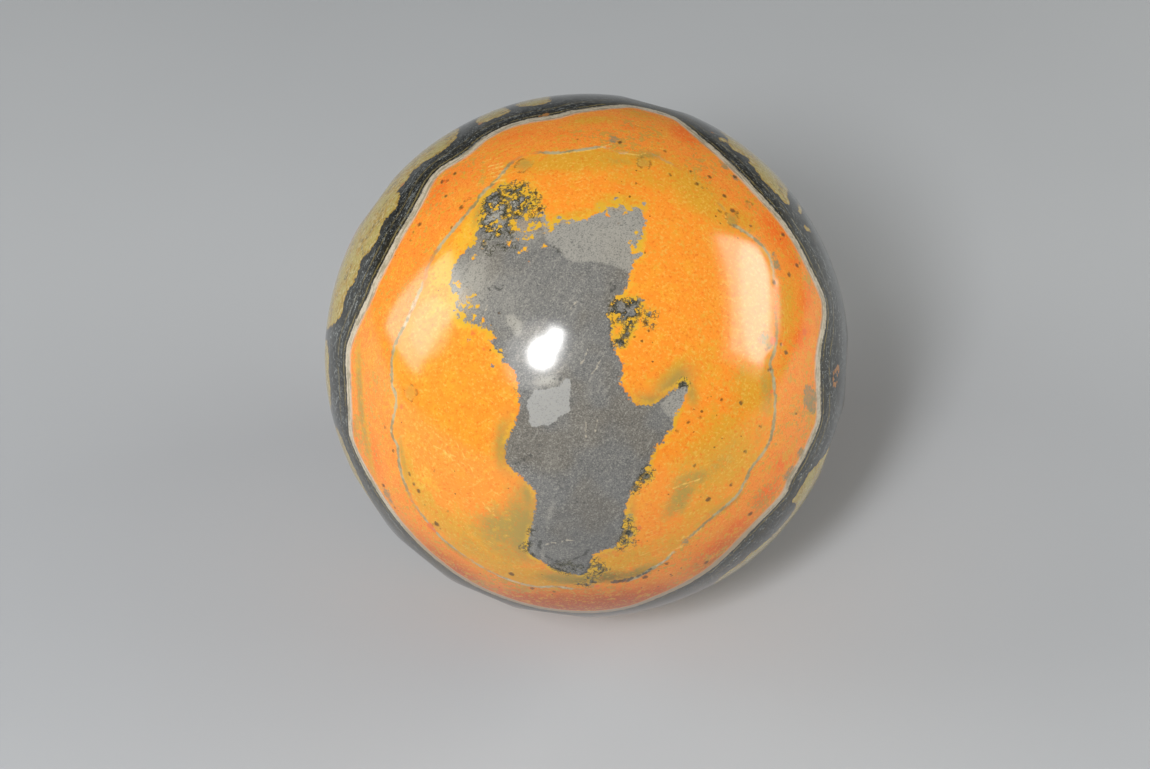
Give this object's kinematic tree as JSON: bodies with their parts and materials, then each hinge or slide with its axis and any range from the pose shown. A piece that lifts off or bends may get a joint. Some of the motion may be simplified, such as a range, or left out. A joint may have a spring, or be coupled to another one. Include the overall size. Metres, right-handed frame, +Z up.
{
  "type": "jasper sphere",
  "caption": "Polished ball of banded jasper with a grey heart, orange layers and a dark rind, standing on a small flat.",
  "frame": {"origin": "middle of the small flat that the ball rests on, directly under the ball's middle", "axes": "+Z up through the ball's middle; the patterned face looks forward and up, halfway between -Y and +Z; +X to the right of that face"},
  "size_m": [0.08, 0.08, 0.0795],
  "materials": {
    "polished_jasper": "banded orange, grey, white and charcoal stone, polished to a gloss"
  },
  "bodies": {
    "root": {"jasper_sphere": "polished_jasper"}
  },
  "joints": []
}
